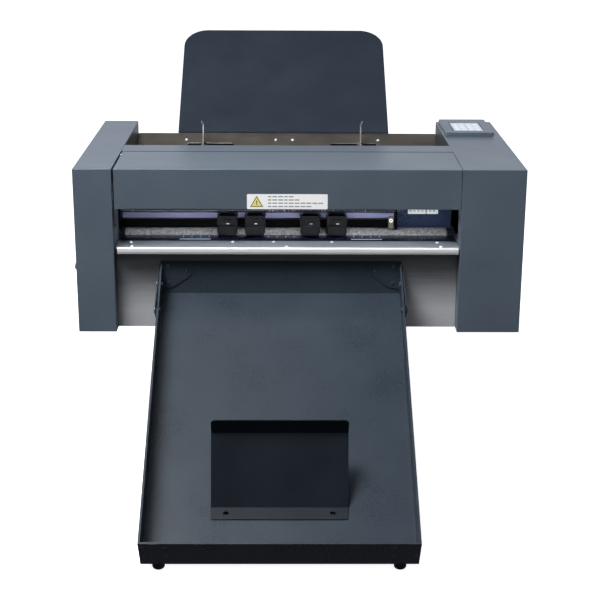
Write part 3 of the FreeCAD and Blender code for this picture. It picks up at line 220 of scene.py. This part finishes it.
def make_finishes():
    powder_coat("cover_paint", "505b67", "57626e", 0.34)
    powder_coat("tray_paint", "2d353e", "343d46", 0.3, ior=1.28)
    # a shaded copy of the tray's paint: the stop plate's darker tone is painted shade
    powder_coat("stop_shaded_paint", "151b22", "1b222a", 0.4, ior=1.25)
    powder_coat("support_paint", "222932", "29313b", 0.42, ior=1.25)
    powder_coat("rear_paint", "3c444d", "454e57", 0.42)
    powder_coat("frame_paint", "1f252d", "282f38", 0.4)
    powder_coat("throat_paint", "28344f", "2f3d5c", 0.3)
    powder_coat("motor_paint", "17191b", "202326", 0.45)
    galvanised("zinc_steel", "a9abad", "7f8285", 0.38)
    # the panel's two tones are its painted shade at the top and its painted reflection at the bottom
    brushed_panel("panel_steel", "76777b", "d0d1d5")
    rolled_metal("stainless_steel", "9a9389", "aaa298", 0.34, (60, 1.6, 1.6))
    rolled_metal("platform_alloy", "646a72", "727880", 0.42, (50, 1.8, 1.8), metallic=0.25)
    rolled_metal("bright_alloy", "eceef0", "f6f7f8", 0.34, (70, 1.5, 1.5), metallic=0.3)
    rolled_metal("rail_alloy", "8083ab", "9497be", 0.36, (24, 2.5, 40), metallic=0.2)
    rolled_metal("polished_steel", "b8babd", "d0d2d4", 0.22, (1.5, 20, 20))
    rolled_metal("tool_metal", "c3c6c9", "dadcde", 0.25, (12, 12, 1.2))
    rolled_metal("screw_steel", "eceded", "f6f6f7", 0.28, (2, 2, 2), metallic=0.3)
    rolled_metal("tray_screw_steel", "3c434b", "5a626b", 0.3, (2, 2, 2), metallic=0.4)
    rolled_metal("block_steel", "6e6960", "8a857b", 0.34, (2, 2, 30), metallic=0.4)
    rolled_metal("guide_steel", "6d6b68", "8b8985", 0.36, (1.5, 1.5, 20), metallic=0.3)
    rolled_metal("supply_steel", "a4a7aa", "b6b8bb", 0.36, (1.8, 50, 1.8))
    # near-black: partly the beam's dark steel, partly painted shade for the gap under the pinch beam
    rolled_metal("black_metal", "020203", "060608", 0.5, (40, 2, 2), metallic=0.6)
    gritted_steel("drum_steel", "c2c4c6", "6f7174")
    moulded("strip_plastic", "0b0e20", "10142b", 0.16, depth=0.006)
    moulded("arm_plastic", "101114", "191b1e", 0.34)
    moulded("black_plastic", "131416", "1d1f22", 0.4)
    moulded("carriage_plastic", "2b2e33", "36393f", 0.42)
    moulded("roller_rubber", "33332f", "45453f", 0.7, grain=2.0, depth=0.1)
    moulded("belt_rubber", "1b1b1c", "29292a", 0.65, grain=2.0, depth=0.15)
    moulded("feet_rubber", "101112", "1c1d1e", 0.7, grain=2.2, depth=0.1)
    moulded("feed_rubber", "3a3b3e", "4a4b4e", 0.72, grain=2.0, depth=0.12)
    moulded("screen_glass", "aeb2c4", "b4b8ca", 0.12, grain=4.0, depth=0.001)
    circuit_board("board_green")
    printed("blue_ink", "a9c6ee", "b8d2f2", 0.4)
    moulded("screen_page", "b9bdd0", "bfc3d6", 0.1, grain=4.0, depth=0.001)
    moulded("screen_bar", "8f9bb8", "97a3c0", 0.1, grain=4.0, depth=0.001)
    moulded("screen_tile", "dfe3ee", "e6e9f3", 0.1, grain=4.0, depth=0.001)
    moulded("screen_icon", "a9b5cf", "b0bcd5", 0.1, grain=4.0, depth=0.001)
    printed("label_film", "ffffff", "fbfbfa", 0.45)
    printed("label_grey", "8f9196", "a0a2a7", 0.5)
    printed("label_black", "1d1e20", "2a2b2e", 0.5)
    printed("label_yellow", "e9d66b", "f0df80", 0.45)


# ------------------------------------------------------------------ pieces
def finished(name, form, body, slot, *coats, smooth=35):
    """A piece from a finished form, with its coats, riding on its body."""
    mesh = bpy.data.meshes.new(name)
    form.to_mesh(mesh)
    form.free()
    for coat in coats or (slot,):
        mesh.materials.append(finishes[coat])
    mesh.polygons.foreach_set("use_smooth", [True] * len(mesh.polygons))
    mesh.set_sharp_from_angle(angle=math.radians(smooth))
    piece = bpy.data.objects.new(name, mesh)
    bpy.context.scene.collection.objects.link(piece)
    even = piece.modifiers.new("even_shading", "WEIGHTED_NORMAL")
    even.keep_sharp = True
    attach(piece, body)
    return piece


def merged_copy(node):
    """The node's solid with its loose triangles joined and its flat faces whole."""
    form = bmesh.new()
    form.from_mesh(NODES[node].data)
    bmesh.ops.remove_doubles(form, verts=form.verts, dist=0.001 * MM)
    bmesh.ops.dissolve_limit(form, angle_limit=math.radians(0.4), verts=form.verts, edges=form.edges)
    return form


def break_edges(form, width):
    sharp = [e for e in form.edges if e.is_manifold and abs(e.calc_face_angle_signed(0)) > math.radians(28)]
    bmesh.ops.bevel(form, geom=sharp, offset=width * MM, offset_type="OFFSET", segments=3, profile=0.5,
                    affect="EDGES", clamp_overlap=True, material=-1)


def cross_recess(form, face):
    """A cross-shaped driver recess sunk in a screw's round head."""
    bmesh.ops.inset_individual(form, faces=[face], thickness=0.2 * MM)
    centre, normal = face.calc_center_median(), face.normal.copy()
    radius = (face.verts[0].co - centre).length
    side = normal.orthogonal().normalized()
    other = normal.cross(side)
    for vert in face.verts:
        out = vert.co - centre
        turn = math.degrees(math.atan2(out.dot(other), out.dot(side))) % 90
        reach = 0.9 if min(turn, 90 - turn) < 14 else 0.32
        vert.co = centre + out.normalized() * radius * reach
    sunk = bmesh.ops.extrude_discrete_faces(form, faces=[face])["faces"][0]
    bmesh.ops.translate(form, verts=sunk.verts, vec=normal * -0.35 * radius)


def eased(node, width, driven=False, coat=None):
    """A copy of a CAD node with its edges broken, and its screws driven, standing for the node."""
    form = merged_copy(node)
    heads = []
    if driven:
        round_faces = [f for f in form.faces if len(f.verts) > 11]
        heads = [f for f in round_faces if 1.55 < math.sqrt(f.calc_area() / math.pi) / MM < 5.2]
    for face in heads:
        cross_recess(form, face)
    break_edges(form, width)
    piece = finished("fine_" + node, form, BODY_OF[node], SLOT_OF[node], coat or SLOT_OF[node])
    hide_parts(node)
    return piece


def slab(form, x0, x1, y0, y1, z0, z1, coat=0):
    """A box between those corners added to a form, its faces given a coat."""
    size = Vector((x1 - x0, y1 - y0, z1 - z0))
    middle = Vector((x1 + x0, y1 + y0, z1 + z0)) / 2
    place = Matrix.Translation(middle) @ Matrix.Diagonal(size).to_4x4()
    verts = bmesh.ops.create_cube(form, size=1.0, matrix=place)["verts"]
    for face in {f for v in verts for f in v.link_faces}:
        face.material_index = coat
    return verts


def ease_nodes():
    widths = {
        "base_pan": 0.3, "left_end_cover": 0.4, "right_end_cover": 0.4, "hood_cover": 0.35,
        "front_edge": 0.25, "platform": 0.3, "hood_catch": 0.3, "drum_bearings": 0.8, "pinch_beam": 0.8,
        "pinch_brackets": 0.5, "carriage": 1.0,
        "tool_holder": 0.3, "feed_ramp": 0.3, 
        "feed_rollers": 1.0, "paper_support": 0.35, "rear_top_strip": 0.35, "tray_pan": 0.4,
        "tray_hangers": 0.35, "side_button": 0.6,
        "power_inlet": 0.5, "power_rocker": 0.6, "control_board": 0.3, "power_supply": 0.6,
        "stepper_motors": 1.2, "rail_brackets": 0.3, "throat_panel": 0.3, "cutting_strip": 0.15,
    }
    for node, width in widths.items():
        eased(node, width)
    for n in range(1, 5):
        eased(f"pinch_arm_{n}", 0.5)
        eased(f"pinch_roller_{n}", 0.6)
    # the stop plate wears the shaded copy of the tray's paint, which is painted shade
    eased("stop_plate", 0.35, coat="stop_shaded_paint")
    eased("pinch_rail", 0.3, coat="rail_alloy")
    eased("beam_end_block", 0.6, coat="block_steel")
    eased("guide_left", 0.25, coat="guide_steel")
    eased("guide_right", 0.25, coat="guide_steel")
    eased("touch_bezel", 0.9, coat="cover_paint")
    eased("machine_screws", 0.15, driven=True)
    eased("tray_screws", 0.15, driven=True)


def finish_nodes():
    for node, part in NODES.items():
        part.material_slots[0].material = finishes[SLOT_OF[node]]


def scale_marks():
    """Size marks printed on the cutting strip: three groups of four ticks, two of them underlined."""
    low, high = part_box("cutting_strip")
    base, top = high.z - 0.02 * MM, high.z + 0.08 * MM
    form = bmesh.new()
    for group in range(3):
        left = low.x + (97.5 + 133.0 * group) * MM
        for tick in range(4):
            x = left + tick * 13.5 * MM
            slab(form, x, x + 1.3 * MM, high.y - 12 * MM, high.y - 6 * MM, base, top)
        if group != 1:
            slab(form, left - 4 * MM, left + 44 * MM, low.y + 6.5 * MM, low.y + 9 * MM, base, top)
    finished("scale_marks", form, "machine", "strip_plastic", "blue_ink")


def disc(form, x, y, z, radius, thick, coat=0, sides=24):
    """A short round plug facing the front, its face at y less its thickness."""
    place = Matrix.Translation((x, y - thick / 2, z)) @ Matrix.Rotation(math.radians(90), 4, "X")
    verts = bmesh.ops.create_cone(form, cap_ends=True, segments=sides, radius1=radius, radius2=radius,
                                  depth=thick, matrix=place)["verts"]
    for face in {f for v in verts for f in v.link_faces}:
        face.material_index = coat
    return verts


def hood_label():
    """The white notice on the hood: a plain warning triangle beside four rows of blind text."""
    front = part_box("hood_cover")[0].y
    form = bmesh.new()
    slab(form, -79.6 * MM, 41.5 * MM, front - 0.2 * MM, front + 0.1 * MM, 195.2 * MM, 218.3 * MM)
    corners = [e for e in form.edges if abs((e.verts[0].co - e.verts[1].co).y) > 0.2 * MM]
    bmesh.ops.bevel(form, geom=corners, offset=1.6 * MM, offset_type="OFFSET", segments=5, profile=0.5,
                    affect="EDGES", clamp_overlap=True, material=-1)
    for radius, thick, coat in ((11.4, 0.24, 2), (9.2, 0.28, 3)):
        disc(form, -65.0 * MM, front, 204.4 * MM, radius * MM, thick * MM, coat, sides=3)
    slab(form, -65.6 * MM, -64.4 * MM, front - 0.32 * MM, front, 203.6 * MM, 208.6 * MM, 2)
    slab(form, -65.6 * MM, -64.4 * MM, front - 0.32 * MM, front, 201.4 * MM, 202.6 * MM, 2)
    for row, reach in enumerate((34.0, 41.0, 84.0, 62.0)):
        top = (215.4 - 5.0 * row) * MM
        start = -48.0
        while start < -48.0 + reach:
            word = 5.0 + 2.3 * ((row * 3 + round(start)) % 3)
            slab(form, start * MM, (start + word) * MM, front - 0.24 * MM, front, top - 1.9 * MM, top, 1)
            start += word + 1.6
    finished("hood_label", form, BODY_OF["hood_cover"], "cover_paint", "label_film", "label_grey",
             "label_black", "label_yellow")


def throat_marks():
    """The pale notice on the throat's back wall, in two parts, with a row of blind marks."""
    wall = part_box("throat_panel")[0].y
    form = bmesh.new()
    for left, right in ((172.6, 201.0), (202.0, 220.5)):
        slab(form, left * MM, right * MM, wall - 0.2 * MM, wall + 0.1 * MM, 161.0 * MM, 168.5 * MM)
    for n in range(7):
        start = (175.0 + 6.2 * n) * MM
        slab(form, start, start + 3.6 * MM, wall - 0.25 * MM, wall, 165.2 * MM, 166.8 * MM, 1)
    finished("throat_label", form, "machine", "throat_paint", "label_film", "label_grey")


def throat_fittings():
    """The ring round the beam's screw, a housing with a silver clip on each pinch arm, a black strip of
    painted shade along the hood's seam, and a black strip of painted shadow along the front panel's top."""
    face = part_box("beam_end_block")[0].y
    form = bmesh.new()
    disc(form, 143.2 * MM, face, 158.6 * MM, 2.9 * MM, 0.4 * MM)
    disc(form, 143.2 * MM, face - 0.1 * MM, 158.6 * MM, 1.3 * MM, 0.4 * MM, 1)
    finished("beam_screw_ring", form, "machine", "screw_steel", "label_film", "label_black")
    drum_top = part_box("drum")[1].z
    for n in range(1, 5):
        low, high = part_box(f"pinch_arm_{n}")
        middle = (low.x + high.x) / 2
        form = bmesh.new()
        slab(form, middle - 6.5 * MM, middle + 6.5 * MM, low.y - 2.2 * MM, low.y + 0.5 * MM,
             high.z - 13 * MM, high.z - 4 * MM)
        slab(form, low.x + 1.5 * MM, high.x - 1.5 * MM, low.y - 5.0 * MM, low.y + 0.5 * MM,
             drum_top - 6.5 * MM, drum_top + 9.5 * MM)
        break_edges(form, 1.4)
        slab(form, middle - 1.0 * MM, middle + 3.4 * MM, low.y - 2.4 * MM, low.y - 2.1 * MM,
             high.z - 12 * MM, high.z - 10.6 * MM, 1)
        finished(f"pinch_housing_{n}", form, f"pinch_arm_{n}", "arm_plastic", "arm_plastic", "screw_steel")
    # a black strip along the hood's seam: painted shade for the gap between the hood and the rear strip
    low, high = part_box("rear_top_strip")
    form = bmesh.new()
    slab(form, low.x, high.x, low.y - 0.4 * MM, low.y + 2.4 * MM, high.z - 0.4 * MM, high.z + 0.06 * MM)
    finished("seam_shade_strip", form, "machine", "cover_paint", "feet_rubber")
    # a black strip on the front panel's top: painted shadow under the platform's edge
    low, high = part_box("front_panel")
    tray_low, tray_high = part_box("tray_pan")
    form = bmesh.new()
    slab(form, tray_low.x - 4 * MM, tray_high.x + 2 * MM, low.y - 0.4 * MM, low.y + 0.1 * MM,
         high.z - 13 * MM, high.z - 0.2 * MM)
    finished("panel_shadow_strip", form, "machine", "panel_steel", "feet_rubber")


def back_fixings():
    """Pan-head screws that hold the covers' backs to the frame."""
    for name in ("left", "right"):
        low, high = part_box(name + "_end_cover")
        form = bmesh.new()
        for x in (low.x + 14 * MM, high.x - 14 * MM):
            for z in (low.z + 22 * MM, (low.z + high.z) / 2, high.z - 22 * MM):
                disc(form, x, high.y + 1.3 * MM, z, 3.4 * MM, 1.5 * MM)
        heads = [f for f in form.faces if f.normal.y > 0.9]
        for face in heads:
            cross_recess(form, face)
        break_edges(form, 0.3)
        finished(name + "_back_screws", form, BODY_OF[name + "_end_cover"], "screw_steel")


def screen_picture():
    """What the control screen shows: a pale page with a black border, a bar along its top and six
    tiles."""
    low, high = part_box("touch_glass")
    wide, deep = high.x - low.x, high.y - low.y
    base, top = high.z - 0.05 * MM, high.z + 0.05 * MM
    border = 1.6 * MM
    form = bmesh.new()
    slab(form, low.x, high.x, low.y, high.y, base, top - 0.02 * MM, 4)
    left, right = low.x + border, high.x - border
    slab(form, left, right, low.y + border, high.y - border, base, top)
    slab(form, left, right, high.y - 8 * MM, high.y - border, base, top + 0.02 * MM, 1)
    for row in range(3):
        for column in range(2):
            x = low.x + wide * (0.1 + 0.44 * column)
            y = low.y + deep * (0.07 + 0.28 * row)
            slab(form, x, x + wide * 0.36, y, y + deep * 0.21, base, top + 0.03 * MM, 2)
            slab(form, x + wide * 0.12, x + wide * 0.24, y + deep * 0.08, y + deep * 0.15, base,
                 top + 0.05 * MM, 3)
    finished("screen_picture", form, "machine", "screen_glass", "screen_page", "screen_bar", "screen_tile",
             "screen_icon", "label_black")


# ------------------------------------------------------------------ setting
def box_piece(name, low, high, coat):
    form = bmesh.new()
    slab(form, low[0], high[0], low[1], high[1], low[2], high[2])
    mesh = bpy.data.meshes.new(name)
    form.to_mesh(mesh)
    form.free()
    mesh.materials.append(coat)
    piece = bpy.data.objects.new(name, mesh)
    bpy.context.scene.collection.objects.link(piece)
    return piece


def make_stage():
    """A white floor under the tray's feet, white sheets round it far off, and a pale plinth that carries the
    machine. The floor and sheets glow, so they stay evenly white, and throw no light on the machine."""
    tree, place, shader = blank("stage_white", Roughness=0.9)
    mottle = add(tree, "TexNoise", {"Vector": place, "Scale": 2.0}).outputs[0]
    tone = add(tree, "Mix", {0: mottle, 6: linear("f2f2f2"), 7: linear("f4f4f4")}, data_type="RGBA")
    tree.links.new(tone.outputs[2], shader.inputs["Base Color"])
    tree.links.new(tone.outputs[2], shader.inputs["Emission Color"])
    shader.inputs["Emission Strength"].default_value = 1.0
    tree, place, shader = blank("plinth_white", Roughness=0.9)
    mottle = add(tree, "TexNoise", {"Vector": place, "Scale": 2.0}).outputs[0]
    tone = add(tree, "Mix", {0: mottle, 6: linear("dedede"), 7: linear("e2e2e2")}, data_type="RGBA")
    tree.links.new(tone.outputs[2], shader.inputs["Base Color"])
    ground = cad_box[0][2]
    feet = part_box("machine_feet")[0].z
    white = finishes["stage_white"]
    floor = box_piece("floor", (-60, -60, ground - 0.1), (60, 60, ground), white)
    walls = [
        box_piece("backdrop_left", (-60.1, -60, ground), (-60, 60, 40), white),
        box_piece("backdrop_right", (60, -60, ground), (60.1, 60, 40), white),
        box_piece("backdrop_front", (-60, -60.1, ground), (60, -60, 40), white),
        box_piece("backdrop_back", (-60, 60, ground), (60, 60.1, 40), white),
    ]
    for sheet in [floor] + walls:
        sheet.visible_diffuse = False
        sheet.visible_glossy = False
    for sheet in walls:
        sheet.visible_shadow = False
    box_piece("plinth", (-0.19, -0.12, ground), (0.13, 0.17, feet), finishes["plinth_white"])


def area_light(name, place, aim, size, watts):
    data = bpy.data.lights.new(name, "AREA")
    data.shape, data.size, data.size_y, data.energy = "RECTANGLE", size[0], size[1], watts
    lamp = bpy.data.objects.new(name, data)
    lamp.location = place
    lamp.rotation_euler = (Vector(aim) - Vector(place)).to_track_quat("-Z", "Y").to_euler()
    bpy.context.scene.collection.objects.link(lamp)
    return lamp


def make_lights():
    """A studio that is bright low behind the machine and dim everywhere else, with a soft key light high
    in front on the left, a weak fill lower down on the right, a panel over the tray, and a lamp strip under
    the hood's lip that neither the camera nor reflections see."""
    world = bpy.data.worlds.new("studio")
    world.use_nodes = True
    tree = world.node_tree
    way = add(tree, "SeparateXYZ", {0: add(tree, "TexCoord").outputs["Generated"]})
    behind = add(tree, "MapRange", {"Value": way.outputs[1], "From Min": 0.0, "From Max": 0.7}).outputs[0]
    low = add(tree, "MapRange", {"Value": way.outputs[2], "From Min": 0.75, "From Max": 0.35}).outputs[0]
    glow = add(tree, "Math", {0: behind, 1: low}, operation="MULTIPLY").outputs[0]
    above = add(tree, "MapRange", {"Value": way.outputs[2], "From Min": -0.05, "From Max": 0.05,
                                   "To Min": 0.04, "To Max": 0.15}).outputs[0]
    level = add(tree, "Math", {0: glow, 1: 0.55, 2: above}, operation="MULTIPLY_ADD").outputs[0]
    backdrop = tree.nodes["Background"]
    backdrop.inputs["Color"].default_value = linear("f4f7ff")
    tree.links.new(level, backdrop.inputs["Strength"])
    bpy.context.scene.world = world
    area_light("key", (-1.0, -1.3, 2.3), (0, -0.1, 0.1), (1.2, 1.0), 105)
    area_light("fill", (0.3, -2.4, 1.5), (0, 0, 0.1), (1.2, 0.8), 5)
    throat = area_light("throat_strip", (-0.01, -0.188, 0.19), (-0.01, -0.1, 0.135), (0.46, 0.012), 0.35)
    throat.visible_camera = False
    throat.visible_glossy = False
    area_light("top_panel", (-0.32, -0.4, 1.7), (-0.32, -0.4, 0), (0.7, 1.0), 3.5)


def make_camera():
    data = bpy.data.cameras.new("camera")
    data.sensor_width, data.lens = 36.0, 82.69
    camera = bpy.data.objects.new("camera", data)
    pan = Matrix.Rotation(math.radians(-0.643), 4, "Z")
    tilt = Matrix.Rotation(math.radians(90 - 17.643), 4, "X")
    roll = Matrix.Rotation(math.radians(0.302), 4, "Z")
    camera.matrix_world = Matrix.Translation((-0.02181, -2.21589, 0.69304)) @ pan @ tilt @ roll
    bpy.context.scene.collection.objects.link(camera)
    bpy.context.scene.camera = camera


def main():
    bpy.context.scene.view_settings.view_transform = "Standard"
    make_finishes()
    finish_nodes()
    make_camera()
    make_lights()
    make_stage()
    ease_nodes()
    scale_marks()
    hood_label()
    throat_marks()
    throat_fittings()
    back_fixings()
    screen_picture()


main()
